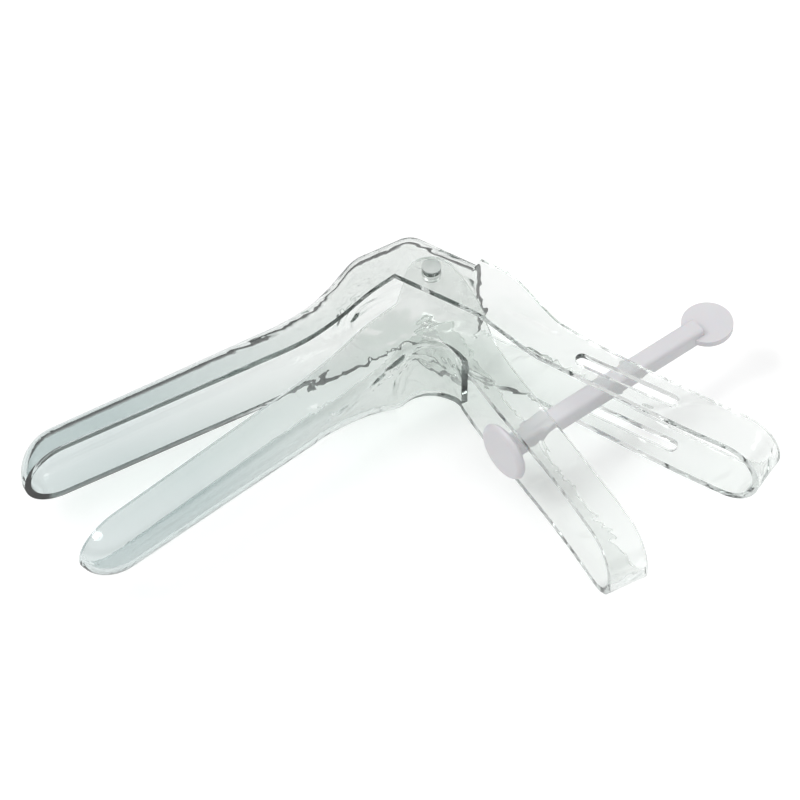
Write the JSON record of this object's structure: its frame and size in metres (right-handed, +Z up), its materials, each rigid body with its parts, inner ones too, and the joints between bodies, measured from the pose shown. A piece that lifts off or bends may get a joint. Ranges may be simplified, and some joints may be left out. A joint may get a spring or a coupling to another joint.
{
  "type": "bivalve speculum",
  "caption": "Clear moulded speculum whose hinged trough-shaped blades open as their looped handles are squeezed, with a white locking pin passed through both handles.",
  "frame": {"origin": "centre of the end face of the lower hinge stud, which the instrument lies on when it is laid on its side", "axes": "+Z up along the hinge axis, +X from the blade tips towards the hinge, +Y from the lower blade towards the upper blade"},
  "size_m": [0.1648, 0.1276, 0.0326],
  "materials": {
    "clear_plastic": "clear, glossy moulded polystyrene",
    "white_plastic": "opaque white, satin"
  },
  "bodies": {
    "lower_valve": {"lower_valve": "clear_plastic"},
    "upper_valve": {"upper_valve": "clear_plastic"},
    "locking_pin": {"locking_pin": "white_plastic"}
  },
  "joints": [
    {"name": "hinge", "type": "hinge", "parent": "lower_valve", "child": "upper_valve", "pos_m": [0, 0, 0.0162], "axis": [0, 0, 1], "range_deg": [-6.5, 12.9]},
    {"name": "pin_slide", "type": "slide", "parent": "lower_valve", "child": "locking_pin", "axis": [0.9977, -0.068, 0], "range_m": [-0.02, 0]}
  ]
}
